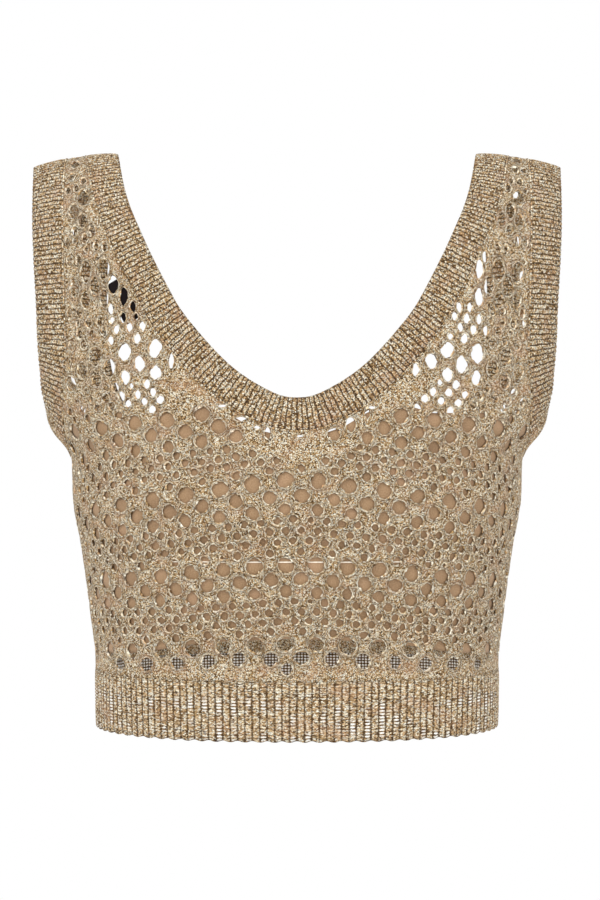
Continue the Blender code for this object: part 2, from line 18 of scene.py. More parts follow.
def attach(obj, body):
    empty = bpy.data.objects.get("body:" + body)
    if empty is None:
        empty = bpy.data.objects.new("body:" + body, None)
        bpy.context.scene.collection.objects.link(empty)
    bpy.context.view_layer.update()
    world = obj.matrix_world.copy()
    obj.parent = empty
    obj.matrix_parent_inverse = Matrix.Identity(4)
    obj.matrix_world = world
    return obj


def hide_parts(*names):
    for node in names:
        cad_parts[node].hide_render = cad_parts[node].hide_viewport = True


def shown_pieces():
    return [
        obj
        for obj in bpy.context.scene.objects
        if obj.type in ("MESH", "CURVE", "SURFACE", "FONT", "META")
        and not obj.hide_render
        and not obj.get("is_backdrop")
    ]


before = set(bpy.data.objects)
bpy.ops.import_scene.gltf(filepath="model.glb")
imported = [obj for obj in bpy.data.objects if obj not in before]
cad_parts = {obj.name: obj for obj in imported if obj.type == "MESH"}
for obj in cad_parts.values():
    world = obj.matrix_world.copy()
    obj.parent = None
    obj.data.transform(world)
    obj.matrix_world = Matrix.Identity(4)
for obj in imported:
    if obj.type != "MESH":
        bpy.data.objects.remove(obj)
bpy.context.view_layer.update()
print("solids:", ", ".join(sorted(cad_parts)))

# %% [markdown]
# ## The camera
#
# The photograph looks straight at the front from a little below the neckline, with long
# glass. A camera 1.6 m away that sees 0.63 m of height gives the same picture. It stays
# level, because tilting it would make the sides lean in, and a small shift frames the top.

# %% Camera
CAMERA_AWAY, CAMERA_HEIGHT = 1.6, -0.189
FRAME_HIGH, PIXEL = 900, 0.0007    # pixels, metres of cloth in one pixel


def placed(name, data):
    """A new object in the scene."""
    made = bpy.data.objects.new(name, data)
    bpy.context.scene.collection.objects.link(made)
    return made


camera_data = bpy.data.cameras.new("camera")
camera_data.sensor_width = 36
camera_data.lens = 36 * CAMERA_AWAY / (FRAME_HIGH * PIXEL)
camera_data.shift_x = 3 / FRAME_HIGH
camera_data.shift_y = -25 / FRAME_HIGH
camera = placed("camera", camera_data)
camera.location = (0, -CAMERA_AWAY, CAMERA_HEIGHT)
camera.rotation_euler = (math.pi / 2, 0, 0)
bpy.context.scene.camera = camera
print("lens", round(camera_data.lens, 1), "mm")

# %% [markdown]
# ## The studio
#
# The picture has a white ground and light from all round, so the shadows are soft and
# the knit still shows its relief. A bright world gives the ground. A small pale floor lies
# below the top, out of the picture, because a wide one would draw a horizon line across
# the white. Two large lamps from the upper left and the right give the relief.

# %% Floor, world and lamps
def lamp(name, place, size, power, look_at=(0, 0, -0.2)):
    """A large square lamp that faces a point."""
    data = bpy.data.lights.new(name, "AREA")
    data.size = size
    data.energy = power
    made = placed(name, data)
    made.location = place
    made.rotation_euler = (Vector(look_at) - Vector(place)).to_track_quat("-Z", "Y").to_euler()


FLOOR_HEIGHT, FLOOR_REACH = -0.75, 1.0
floor_mesh = bpy.data.meshes.new("floor")
corners = [(x * FLOOR_REACH, y * FLOOR_REACH, FLOOR_HEIGHT) for x, y in ((-1, -1), (1, -1), (1, 1), (-1, 1))]
floor_mesh.from_pydata(corners, [], [(0, 1, 2, 3)])
floor = placed("floor", floor_mesh)
floor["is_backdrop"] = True

world = bpy.data.worlds.new("studio")
world.use_nodes = True
world.node_tree.nodes["Background"].inputs["Color"].default_value = (1, 1, 1, 1)
world.node_tree.nodes["Background"].inputs["Strength"].default_value = 1.0
bpy.context.scene.world = world
bpy.context.scene.view_settings.view_transform = "Standard"

lamp("key_lamp", (-1.1, -1.7, 1.3), 1.0, 32)
lamp("fill_lamp", (1.5, -1.5, 0.5), 1.4, 14)

# %% [markdown]
# ## The form
#
# Filled out, the whole top lies on one smooth form. Its cross-sections are superellipses,
# and above the chest it leans in over the shoulders. A place on it is told by two
# lengths in millimetres: how far round from the centre line (across) and how high
# (height). So all the pieces are drawn flat first and then laid on the form.

# %% Cross-sections
# height, half width, front depth, back depth, roundness
SECTIONS = np.array([
    (-400, 140.0, 101, 97, 2.30), (-350, 140.5, 104, 96, 2.30), (-317, 144.0, 108, 97, 2.35),
    (-275, 149.5, 115, 99, 2.40), (-240, 155.5, 119, 103, 2.40), (-214, 156.5, 118, 106, 2.30),
    (-206, 159.5, 117, 107, 2.25), (-195, 168.5, 116, 107, 2.20), (-178, 179.5, 114, 107, 2.12),
    (-160, 190.0, 111, 106, 2.06), (-136, 201.0, 107, 105, 2.02), (-105, 211.0, 102, 102, 2.00),
    (-60, 216.0, 93, 95, 2.00), (-25, 210.0, 84, 87, 2.00), (0, 198.0, 76, 80, 2.00)])
SHOULDER_FOOT, SHOULDER_INNER, SHOULDER_FALL = -110.0, 126.0, 0.0027
SHOULDER_ROUNDNESS, STRAP_MIDDLE = 2.4, 155.0


def section(column, level):
    """A smooth curve through one column of the sections, read at some levels."""
    heights, values = SECTIONS[:, 0], SECTIONS[:, column]
    steps = np.diff(values) / np.diff(heights)
    slopes = np.concatenate([steps[:1], np.zeros(len(steps) - 1), steps[-1:]])
    same_way = steps[1:] * steps[:-1] > 0
    slopes[1:-1][same_way] = 2 / (1 / steps[1:][same_way] + 1 / steps[:-1][same_way])
    level = np.clip(level, heights[0], heights[-1])
    cell = np.clip(np.searchsorted(heights, level) - 1, 0, len(heights) - 2)
    width = heights[cell + 1] - heights[cell]
    t = (level - heights[cell]) / width
    return (values[cell] * (1 + 2 * t) * (1 - t) ** 2 + slopes[cell] * width * t * (1 - t) ** 2
            + values[cell + 1] * t * t * (3 - 2 * t) + slopes[cell + 1] * width * t * t * (t - 1))


def signed_power(value, power):
    return np.sign(value) * np.abs(value) ** power


def shoulder_height(half_width):
    """The shoulder seam falls by the square of the distance outward."""
    return -SHOULDER_FALL * np.maximum(half_width - SHOULDER_INNER, 0) ** 2


# %% The front form and the back form
class Form:
    """The front or the back of the top, as a surface of (across, height)."""

    ANGLES = np.linspace(0, math.pi / 2, 97)

    def __init__(self, depth_column, facing):
        self.depth_column, self.facing = depth_column, facing
        self.crown = shoulder_height(STRAP_MIDDLE) - SHOULDER_FOOT
        below = np.arange(SECTIONS[0, 0], SHOULDER_FOOT, 2.0)
        lean = np.linspace(0, math.pi / 2, 49)
        rise, thin = self.lean_over(lean)
        level = SHOULDER_FOOT + self.crown * rise
        power = section(4, level)
        share = np.clip(STRAP_MIDDLE / section(1, level), 0, 1)
        strap_depth = section(depth_column, level) * thin * (1 - share ** power) ** (1 / power)
        run = np.hypot(np.diff(level), np.diff(strap_depth))
        self.heights = np.concatenate([below, SHOULDER_FOOT + np.concatenate([[0], np.cumsum(run)])])
        self.leans = np.concatenate([np.zeros(len(below)), lean])
        self.levels = np.concatenate([below, level])
        self.top = self.heights[-1]
        # Lengths round each section, and the angles at even shares of them.
        grid = self.place(self.ANGLES[None, :], self.heights[:, None])[..., :2]
        steps = np.linalg.norm(np.diff(grid, axis=1), axis=-1)
        rounds = np.concatenate([np.zeros((len(steps), 1)), np.cumsum(steps, axis=1)], axis=1)
        self.girths = rounds[:, -1]
        shares = np.linspace(0, 1, len(self.ANGLES))
        self.angle_rows = np.array([np.interp(shares * r[-1], r, self.ANGLES) for r in rounds])

    @staticmethod
    def lean_over(lean):
        """How far the cloth has risen over the shoulder, and how much depth is left."""
        power = 2 / SHOULDER_ROUNDNESS
        return np.sin(lean) ** power, signed_power(np.cos(lean), power)

    def place(self, angle, height):
        """The point at an angle round from the centre, as x, depth and z."""
        angle, height = np.broadcast_arrays(angle, height)
        beyond = np.maximum(height - self.top, 0)
        folded = height - 2 * beyond
        lean = np.interp(folded, self.heights, self.leans)
        level = np.interp(folded, self.heights, self.levels)
        half_width, power = section(1, level), section(4, level)
        x = half_width * signed_power(np.sin(angle), 2 / power)
        side = np.where(beyond > 0, -1, 1)
        depth = section(self.depth_column, level) * self.lean_over(lean)[1] * side
        depth = depth * signed_power(np.cos(angle), 2 / power)
        rise = (shoulder_height(np.abs(x)) - SHOULDER_FOOT) / self.crown
        z = np.where(level > SHOULDER_FOOT, SHOULDER_FOOT + rise * (level - SHOULDER_FOOT), level)
        return np.stack([x, depth, z], axis=-1)

    def girth(self, height):
        return np.interp(height, self.heights, self.girths)

    def lay(self, flat, out=0.0):
        """Flat places laid on the form in metres, moved out from it by some millimetres."""
        across, height = flat[..., 0], flat[..., 1]
        share = np.clip(np.abs(across) / self.girth(height), 0, 1) * (len(self.ANGLES) - 1)
        row = np.interp(height, self.heights, np.arange(len(self.heights)))
        row = np.clip(row, 0, len(self.heights) - 1.001)
        r, c = row.astype(int), np.minimum(share.astype(int), len(self.ANGLES) - 2)
        fr, fc = row - r, share - c
        rows = self.angle_rows
        angle = ((rows[r, c] * (1 - fc) + rows[r, c + 1] * fc) * (1 - fr)
                 + (rows[r + 1, c] * (1 - fc) + rows[r + 1, c + 1] * fc) * fr)
        small_angle, small_height = 0.004, 0.4
        along = self.place(angle + small_angle, height) - self.place(angle - small_angle, height)
        up = self.place(angle, height + small_height) - self.place(angle, height - small_height)
        normal = np.cross(up, along)
        normal[..., 0] = np.where(angle < small_angle, 0, normal[..., 0])
        normal /= np.linalg.norm(normal, axis=-1, keepdims=True)
        laid = self.place(angle, height) + np.asarray(out)[..., None] * normal
        laid[..., 0] *= np.where(across < 0, -1, 1)
        laid[..., 1] *= self.facing
        return laid / 1000


FRONT, BACK = Form(2, -1), Form(3, 1)
HALVES = {"front": FRONT, "back": BACK}
print("over the shoulder at", round(FRONT.top, 1), "and", round(BACK.top, 1), "mm")

# %% [markdown]
# ## Necklines and armholes
#
# The edges are curves through a few measured places, drawn flat. A band is the strip
# between such an edge and a line the same distance from it all the way, so its width
# stays true round the curves, as a knitted band's does.

# %% Edges and bands
# half width, height; the seam's own height, and the side's own width, are None
FRONT_NECK = ((126, None), (116.5, -26), (103.5, -62), (86, -97), (72, -119), (44, -149.5),
              (17, -167), (0, -171))
BACK_NECK = ((126, None), (131, -10), (137, -50), (140, -100), (138, -140), (126, -175), (95, -197),
             (46, -206), (0, -207))
FRONT_ARMHOLE = ((184, None), (181.5, -26), (179.5, -63), (177, -105), (174.5, -137), (174.5, -164),
                 (172, -182), (None, -193))
BACK_ARMHOLE = ((184, None), (186, -26), (188, -63), (188, -105), (186, -137), (181, -164),
                (174, -182), (None, -193))
NECKBAND_WIDTH, ARMBAND_WIDTH, SEAM_GAP = 22.0, 24.0, 0.3


def spline(points):
    """A smooth flat curve through the points, level at its far end, in small even steps."""
    points = [Vector(p) for p in points]
    past = Vector((2 * points[-1].x - points[-2].x, points[-2].y))
    ends = [2 * points[0] - points[1]] + points + [past]
    fine = []
    for before, start, end, after in zip(ends, ends[1:], ends[2:], ends[3:]):
        handles = start + (end - before) / 6, end - (after - start) / 6
        fine += interpolate_bezier(start, *handles, end, 24)[:-1]
    return even_steps(np.array([tuple(p) for p in fine + [points[-1]]]), 4.0)


def even_steps(line, step):
    lengths = np.concatenate([[0], np.cumsum(np.linalg.norm(np.diff(line, axis=0), axis=1))])
    at = np.linspace(0, lengths[-1], max(2, round(lengths[-1] / step)) + 1)
    return np.stack([np.interp(at, lengths, line[:, k]) for k in range(line.shape[1])], axis=1)


def free_edge(form, places):
    """The free edge of a band: places by half width, turned into lengths round the form."""
    rows = []
    for half_width, height in places:
        height = form.top if height is None else height
        if half_width is None:
            rows.append((form.girth(height), height))
            continue
        level = np.interp(height, form.heights, form.levels)
        widest, power = section(1, level), section(4, level)
        angle = math.asin(min(half_width / widest, 1) ** (power / 2))
        cell = int(np.clip(np.searchsorted(form.heights, height) - 1, 0, len(form.heights) - 2))
        share = np.interp(angle, form.angle_rows[cell], np.linspace(0, 1, len(form.ANGLES)))
        rows.append((share * form.girth(height), height))
    return spline(rows)


def beside(form, edge, width, armhole):
    """The line beside an edge, the same width away from it everywhere along the cloth."""
    if not width:
        return edge
    ahead = np.gradient(edge, axis=0)
    turn = 1 if armhole else -1
    normal = turn * np.stack([ahead[:, 1], -ahead[:, 0]], axis=1)
    normal /= np.linalg.norm(normal, axis=1, keepdims=True)
    normal[0] = (-turn, 0)
    low = edge[-1, 1]
    down = np.array((form.girth(low - 2) - form.girth(low) if armhole else 0, -2.0))
    normal[-1] = down / np.linalg.norm(down)
    reach = np.full(len(edge), float(width))
    start = form.lay(edge)
    for _ in range(5):
        away = form.lay(edge + normal * reach[:, None]) - start
        reach *= width / (1000 * np.linalg.norm(away, axis=1))
    line = edge + normal * reach[:, None]
    if armhole:
        line[-1, 0] = form.girth(line[-1, 1])
    return line


class Band:
    """Half of a ribbed band, from the shoulder seam to the centre or the underarm."""

    def __init__(self, form, edge, width, armhole):
        self.form, self.edge, self.width, self.armhole = form, edge, width, armhole
        middle = beside(form, edge, width / 2, armhole)
        steps = np.linalg.norm(np.diff(form.lay(middle), axis=0), axis=1) * 1000
        self.lengths = np.concatenate([[0], np.cumsum(steps)])
        self.length = self.lengths[-1]

    def line(self, width, marks):
        """The line at one width from the free edge, read at lengths along the band."""
        whole = beside(self.form, self.edge, width, self.armhole)
        flat = np.stack([np.interp(marks, self.lengths, whole[:, k]) for k in (0, 1)], axis=1)
        flat[:, 1] = np.minimum(flat[:, 1], self.form.top - SEAM_GAP / 2)
        flat[:, 0] = np.minimum(flat[:, 0], self.form.girth(flat[:, 1]) - SEAM_GAP / 2)
        flat[0, 1] = self.form.top - SEAM_GAP / 2
        flat[-1, 0] = self.form.girth(flat[-1, 1]) - SEAM_GAP / 2 if self.armhole else 0
        return flat

    def beyond(self, away, count):
        """The line a little beyond the band's inner edge, as evenly spaced places."""
        return self.line(self.width + away, np.linspace(0, self.length, count))


EDGES = {"front": (FRONT_NECK, FRONT_ARMHOLE), "back": (BACK_NECK, BACK_ARMHOLE)}
BANDS = {}
for word, form in HALVES.items():
    neck, armhole = EDGES[word]
    BANDS["neck", word] = Band(form, free_edge(form, neck), NECKBAND_WIDTH, False)
    BANDS["arm", word] = Band(form, free_edge(form, armhole), ARMBAND_WIDTH, True)
print("bands:", {" ".join(key): round(band.length) for key, band in BANDS.items()})

# %% [markdown]
# ## Shader sums
#
# A finish is easier to read as a sum than as a web of nodes. The class below wraps one
# socket, so that `a * 2 + b` adds the nodes for it.

# %% Sums of sockets
class Wire:
    """One output socket of the material being made, for use in Python sums."""

    tree = None

    def __init__(self, socket):
        self.socket = socket

    @classmethod
    def node(cls, kind, settings=None, inputs=None, output=0):
        """Adds any node: its settings first, then the values or links of its sockets."""
        made = cls.tree.nodes.new(kind)
        for name, value in (settings or {}).items():
            if name == "stops":
                elements = made.color_ramp.elements
                while len(elements) < len(value):
                    elements.new(0.5)
                for element, (position, colour) in zip(elements, value):
                    element.position, element.color = position, (*colour, 1)
            else:
                setattr(made, name, value)
        for name, value in (inputs or {}).items():
            if isinstance(value, Wire):
                cls.tree.links.new(value.socket, made.inputs[name])
            else:
                made.inputs[name].default_value = value
        return Wire(made.outputs[output]) if made.outputs else None

    def math(self, operation, *others):
        return Wire.node("ShaderNodeMath", {"operation": operation}, dict(enumerate((self, *others))))

    def __add__(self, other):
        return self.math("ADD", other)

    def __sub__(self, other):
        return self.math("SUBTRACT", other)

    def __rsub__(self, other):
        return Wire.node("ShaderNodeMath", {"operation": "SUBTRACT"}, {0: other, 1: self})

    def __mul__(self, other):
        return self.math("MULTIPLY", other)

    def __truediv__(self, other):
        return self.math("DIVIDE", other)

    def __pow__(self, other):
        return self.math("POWER", other)

    def __abs__(self):
        return self.math("ABSOLUTE")

    __radd__, __rmul__ = __add__, __mul__

    def over(self, low, high):
        """0 below low, 1 above high, smooth between."""
        return Wire.node("ShaderNodeMapRange", {"interpolation_type": "SMOOTHSTEP"},
                         {"Value": self, "From Min": low, "From Max": high})


def blend(share, first, second):
    """Two colours mixed by a share."""
    return Wire.node("ShaderNodeMix", {"data_type": "RGBA"}, {0: share, 6: first, 7: second}, 2)


def ramp(place, stops):
    return Wire.node("ShaderNodeValToRGB", {"stops": stops}, {"Fac": place})


def stored(uv_map):
    """The values that a piece keeps in one of its UV maps."""
    return Wire.node("ShaderNodeUVMap", {"uv_map": uv_map})


def saw(turns):
    """1 at whole turns and 0 half way between them."""
    return abs(turns.math("FRACT") - 0.5) * 2


def joined(x, y, z=0.0):
    return Wire.node("ShaderNodeCombineXYZ", inputs={0: x, 1: y, 2: z})


def noise(where, scale, detail=2.0, rough=0.5):
    return Wire.node("ShaderNodeTexNoise", inputs={"Vector": where, "Scale": scale, "Detail": detail,
                                                   "Roughness": rough})


def finish_material(colour, height, depth, roughness, **fixed):
    """Ends a material: its colour, and its relief as a height over a depth in metres."""
    bump = Wire.node("ShaderNodeBump", inputs={"Height": height, "Distance": depth, "Strength": 1.0})
    fixed = {name.replace("_", " "): value for name, value in fixed.items()}
    looks = {"Base Color": colour, "Normal": bump, "Roughness": roughness, **fixed}
    shader = Wire.node("ShaderNodeBsdfPrincipled", inputs=looks)
    Wire.node("ShaderNodeOutputMaterial", inputs={"Surface": shader})


def new_material(name):
    made = bpy.data.materials.new(name)
    made.use_nodes = True
    made.node_tree.nodes.clear()
    Wire.tree = made.node_tree
    return made


# %% [markdown]
# ## The yarn
#
# The yarn is marled: thin crimped ends in beige, cream, olive brown and pinkish brown are
# twisted together, so each stitch shows little curls of another colour. Small random
# cells, bent by a noise, give those curls. A stocking stitch is a V of two slanted legs.
# The finish draws both legs from stitch numbers, which every piece carries as a UV map:
# whole numbers in u are wales, and whole numbers in v are courses.

# %% Marled yarn
MARL = [(0.00, (0.08, 0.041, 0.012)), (0.13, (0.23, 0.130, 0.045)), (0.30, (0.46, 0.290, 0.120)),
        (0.47, (0.64, 0.435, 0.205)), (0.57, (0.68, 0.40, 0.215)), (0.68, (0.79, 0.60, 0.34)),
        (0.83, (0.95, 0.81, 0.56)), (1.00, (0.99, 0.94, 0.78))]
WALE, COURSE = 2.65, 2.1    # millimetres
SHADOW_BROWN, PINK_BROWN = (0.060, 0.029, 0.009, 1), (0.60, 0.32, 0.18, 1)
# The cream paints highlights on the eyelet rims and the hem's rungs, and the white paints the light seen
# through the hem's ladders.
PAINTED_HIGHLIGHT_CREAM, PAINTED_SHOW_THROUGH_WHITE = (0.96, 0.87, 0.69, 1), (0.96, 0.94, 0.90, 1)


def stitch_numbers():
    """The UV map of stitch numbers, as wales across and courses along."""
    across = Wire.node("ShaderNodeSeparateXYZ", inputs={0: stored("cloth")})
    return across, Wire(across.socket.node.outputs[1])


def stitch_relief(across, along, place):
    """Height of the V stitches, from 0 between the legs to 1 on them."""
    across = across + (noise(place, 0.45) - 0.5) * 0.8
    along = along + (noise(place, 0.8) - 0.5)
    half = saw(across)
    leg = (along - half * 0.65).math("FRACT")
    leg = (leg * (1 - leg) * 4) ** 0.5
    lobe = (half * (1 - half) * 4).math("MAXIMUM", 0.0) ** 0.5
    return leg * lobe


def curled_ends(across, along):
    """A random tone for each crimped end of yarn, and how near its middle a place is."""
    sharp = joined(across * WALE, along * COURSE)
    curl = Wire.node("ShaderNodeTexNoise", inputs={"Vector": sharp, "Scale": 0.75, "Detail": 1.0}, output=1)
    bent = Wire.node("ShaderNodeVectorMath", {"operation": "MULTIPLY_ADD"},
                     {0: curl, 1: (1.8, 1.8, 0), 2: sharp})
    cells = {"voronoi_dimensions": "2D", "feature": "F1"}
    ends = Wire.node("ShaderNodeTexVoronoi", cells, {"Vector": bent, "Scale": 1.4, "Randomness": 1.0}, 1)
    depth = Wire(ends.socket.node.outputs[0])
    return Wire.node("ShaderNodeSeparateColor", inputs={0: ends}), 1 - depth.over(0.25, 0.70)


# %% Furrows of a rib and ladders of the hem
WALE_OF_HEM = 4.9           # millimetres, as are the two sizes of a rung below
RUNG_HALF_WIDE, RUNG_HALF_HIGH = 1.95, 0.70
LADDERS_FADE = -178.5, -173.5    # courses: rungs fade out towards the top of the hem


def furrow_shade(across, place, strength):
    """Shade in the grooves between the wales of a rib, more in every second one."""
    wave, deep = saw(across + 0.5), saw(across / 2 + 0.5)
    patchy = noise(place, 2.8, 1.0).over(0.12, 0.60) * strength
    return (1 - wave).over(0.45, 0.92) * patchy * 0.72, (1 - deep).over(0.72, 0.96) * patchy * 0.25


def ladder_rungs(across, along, place, ladders):
    """The rungs in the wales, painted white as light showing through their gaps: how lit, which of them show,
    and the painted shade round them.
    """
    wale = ((across * ladders).math("FRACT") - 0.5) * (WALE_OF_HEM / ladders)
    rung = (along.math("FRACT") - 0.5) * COURSE
    oval = 1 - ((wale / (RUNG_HALF_WIDE / ladders)) ** 2 + (rung / RUNG_HALF_HIGH) ** 2) ** 0.5
    groove = abs(wale).over(1.45 / ladders, 2.3 / ladders)
    if ladders > 1:
        shown = 1.0    # every wale of the inside has clear rungs
    else:
        shown = (across * ladders / 2).math("FRACT").over(0.495, 0.505)
        shown = shown * (noise(place, 0.15, 1.0).over(0.46, 0.62) * (1 - along.over(*LADDERS_FADE)))
    around = (1 - oval.over(-0.60, 0.16)) * (shown * 0.45 + 0.24)
    return oval.over(0.02, 0.30), shown, groove * 0.42 + around


# %% Marled knit
KNIT_RELIEF = 0.0009    # metres


def knit_finish(name, furrows=0.0, ladders=0):
    """Marled knit, with shaded furrows for a rib, or with ladders in each wale."""
    made = new_material(name)
    across, along = stitch_numbers()
    place = joined(across, along)
    stitch = stitch_relief(across, along, place)
    tone, middle = curled_ends(across, along)
    fleck = noise(place, 5.5, 2.0, 0.6)
    colour = ramp(tone * 1.30 + (fleck - 0.5) * 0.9 - 0.11, MARL)
    colour = blend(noise(place, 0.16).over(0.47, 0.75) * 0.40, colour, PINK_BROWN)
    shade = (1 - stitch.over(0.0, 0.65)) * 0.38 + (1 - middle) * 0.52
    # Round a hole: a broken painted highlight on the raised rim's crest, and painted shade just outside it.
    rim = Wire.node("ShaderNodeSeparateXYZ", inputs={0: stored("rim")})
    broken = noise(place, 2.3, 1.0).over(0.42, 0.56)
    colour = blend((1 - abs(rim - 0.55).over(0.15, 0.55)) * broken * 0.62, colour, PAINTED_HIGHLIGHT_CREAM)
    shade = shade + (1 - abs(rim - 1.55).over(0.1, 0.6)) * 0.22
    if furrows:
        each, second = furrow_shade(across, place, furrows)
        shade = shade + each + second
    if ladders:
        lit, shown, dark = ladder_rungs(across, along, place, ladders)
        # The rung ovals are painted pale and white as light showing through the ladder gaps, with painted
        # shade round them.
        colour = blend(lit * 0.12, colour, PAINTED_HIGHLIGHT_CREAM)
        colour = blend(lit * shown, colour, PAINTED_SHOW_THROUGH_WHITE)
        shade = (shade * 0.85 + dark) * (1 - lit * shown)
    colour = blend(shade.math("MINIMUM", 0.94), colour, SHADOW_BROWN)
    height = stitch * 0.55 + middle * 0.45 + (fleck - 0.5) * 0.4
    finish_material(colour, height, KNIT_RELIEF, 0.82,
                    Sheen_Weight=0.06, Sheen_Roughness=0.5, Specular_IOR_Level=0.12)
    return made


YARN = knit_finish("marled_lace_knit")
RIB_YARN = knit_finish("marled_rib_knit", furrows=1.0)
HEM_YARN = knit_finish("marled_hem_knit", ladders=1)
HEM_INSIDE = knit_finish("marled_hem_inside", ladders=2)
print("materials:", [m.name for m in (YARN, RIB_YARN, HEM_YARN, HEM_INSIDE)])

# %% [markdown]
# ## The lace pattern
#
# Lace's holes are made by increases and decreases, so they keep to courses. Each repeat
# has a row of large eyelets, two rows of smaller ones between and below them, and four
# rows of little ones. The rows dip towards the sides. On the straps the cloth is pulled
# long, which makes its eyelets tall and close together.
# The chart below is drawn from those rules, with a small fixed irregularity.

# %% Chart of the eyelets
# centre height, side dip, pitch, spread, start, stretch
LACE_ROWS = np.array([
    (26.0, 4, 12.5, 0.0, 0.5, 1.9), (-25.0, 8, 13.0, 0.0, 0.5, 1.9), (-76.0, 15, 14.1, 0.0, 0.5, 1.9),
    (-129.0, 20, 21.7, 0.0, 0.5, 1.3), (-176.0, 20, 21.4, 0.0026, 0.0, 1.0),
    (-224.0, 26, 21.2, 0.0026, 0.5, 1.0), (-279.5, 16, 20.2, 0.0026, 0.5, 1.0),
    (-331.5, 11, 20.2, 0.0026, 0.5, 1.0), (-383.0, 6, 20.2, 0.0026, 0.5, 1.0)])
# share of the repeat, column shift, columns in a pitch, radius
EYELETS = ((0.0, 0.0, 1, 5.1), (0.185, 0.5, 1, 4.4), (0.34, 0.0, 1, 3.9),
           (0.475, 0.25, 2, 2.5), (0.60, 0.0, 2, 2.45), (0.72, 0.25, 2, 2.4), (0.85, 0.0, 2, 2.5))
LACE_MIDDLE, LACE_REACH = 3.0, 240
LOWEST_EYELET = {"front": -354.0, "back": -340.0}
EDGE_STRAND, NARROWEST = 2.2, 1.1
# Beside and under the neckline only the big eyelets are knitted, and the rest is plain.
PLAIN_TOP, PLAIN_FOOT, PLAIN_HALF, PLAIN_BELOW_NECK, BIG_EYELET = -140, -225, 92, 19.0, 3.4
# a few thin slits along the seam of the neckband: across, height, half width, half height
SEAM_SLITS = ((-49, -176.5, 2.4, 0.9), (-37, -185.0, 3.4, 1.3), (-26, -190.5, 1.7, 1.1),
              (2, -196.3, 2.2, 0.8), (49, -177.5, 1.9, 0.9))


def row_between(upper, lower, share):
    """A row of lace part of the way down a repeat, which keeps the first rows' columns."""
    turned = max(share - 0.34, 0) / 0.66
    row = upper + (lower - upper) * turned
    row[:2] = upper[:2] + (lower[:2] - upper[:2]) * share
    row[4] = upper[4]
    return row


def chart(word):
    """Every eyelet of a panel: centre, half width and half height, in millimetres."""
    form, outline = HALVES[word], OUTLINES[word]
    chance = np.random.default_rng(7)
    found = []
    for upper, lower in zip(LACE_ROWS, LACE_ROWS[1:]):
        for share, shift, often, radius in EYELETS:
            height, dip, pitch, spread, start, stretch = row_between(upper, lower, share)
            column = (start + shift) % (1 / often)
            across = 0.0
            while across < LACE_REACH:
                across = pitch * column * (1 + spread * column ** 2)
                for side in ((1, -1) if column > 0 else (1,)):
                    x = side * across + LACE_MIDDLE + chance.normal(0, 0.35)
                    y = height
                    for _ in range(4):
                        round_share = min(abs(x) / form.girth(y), 1)
                        y = height - dip * math.sin(math.pi / 2 * round_share ** 1.2)
                    y += chance.normal(0, 0.3)
                    size = radius * (1 + chance.normal(0, 0.045))
                    found.append((x, y, size / math.sqrt(stretch), size * math.sqrt(stretch)))
                column += 1 / often
    found = np.array(found)
    above_hem = found[:, 1] - found[:, 3] > LOWEST_EYELET[word]
    found = found[inside(found[:, :2], outline) & above_hem]
    room = distance_to(found[:, :2], outline)
    x, y, _, tall = found.T
    plain = (y < PLAIN_TOP) & (y > PLAIN_FOOT) & (tall < BIG_EYELET)
    plain &= (np.abs(x) < PLAIN_HALF) & (room < PLAIN_BELOW_NECK)
    found, room = found[~plain], room[~plain]
    found[:, 2] = np.minimum(found[:, 2], room - EDGE_STRAND)
    kept = spaced(found[found[:, 2] > NARROWEST])
    return np.concatenate([kept, SEAM_SLITS]) if form is FRONT else kept


def spaced(eyelets, strand=2.0):
    """Drops or shrinks an eyelet whose rim comes too near a larger one's."""
    kept = []
    for eye in eyelets[np.argsort(-eyelets[:, 3])]:
        for other in kept:
            apart = eye[:2] - other[:2]
            length = math.hypot(*apart)
            if length > 25:
                continue
            way = np.abs(apart) / max(length, 1e-6)
            reach = [1 / math.hypot(way[0] / e[2], way[1] / e[3]) for e in (eye, other) if e[2] > 0]
            short = sum(reach) + strand - length
            if short > 0:
                eye = eye.copy()
                eye[2:] *= max(reach[0] - short, 0) / reach[0]
        if eye[2] > 1.0:
            kept.append(eye)
    return np.array(kept)


# %% Places inside an outline
def inside(places, outline):
    odd = np.zeros(len(places), bool)
    for a, b in zip(outline, np.roll(outline, -1, axis=0)):
        crosses = (a[1] > places[:, 1]) != (b[1] > places[:, 1])
        with np.errstate(divide="ignore", invalid="ignore"):
            at = a[0] + (places[:, 1] - a[1]) / (b[1] - a[1]) * (b[0] - a[0])
        odd ^= crosses & (places[:, 0] < at)
    return odd


def distance_to(places, outline):
    least = np.full(len(places), 1e9)
    for a, b in zip(outline, np.roll(outline, -1, axis=0)):
        along = b - a
        t = np.clip(((places - a) @ along) / max(along @ along, 1e-9), 0, 1)
        least = np.minimum(least, np.linalg.norm(places - a - t[:, None] * along, axis=1))
    return least


# %% [markdown]
# ## The outline of a lace panel
#
# A panel is bounded by the two bands, the shoulder seam, the side seam and the hem, each
# a hair's breadth away. Half of it is drawn and mirrored.

# %% Panel outlines
HEM_TOP, HEM_BOTTOM = -358.0, -397.0


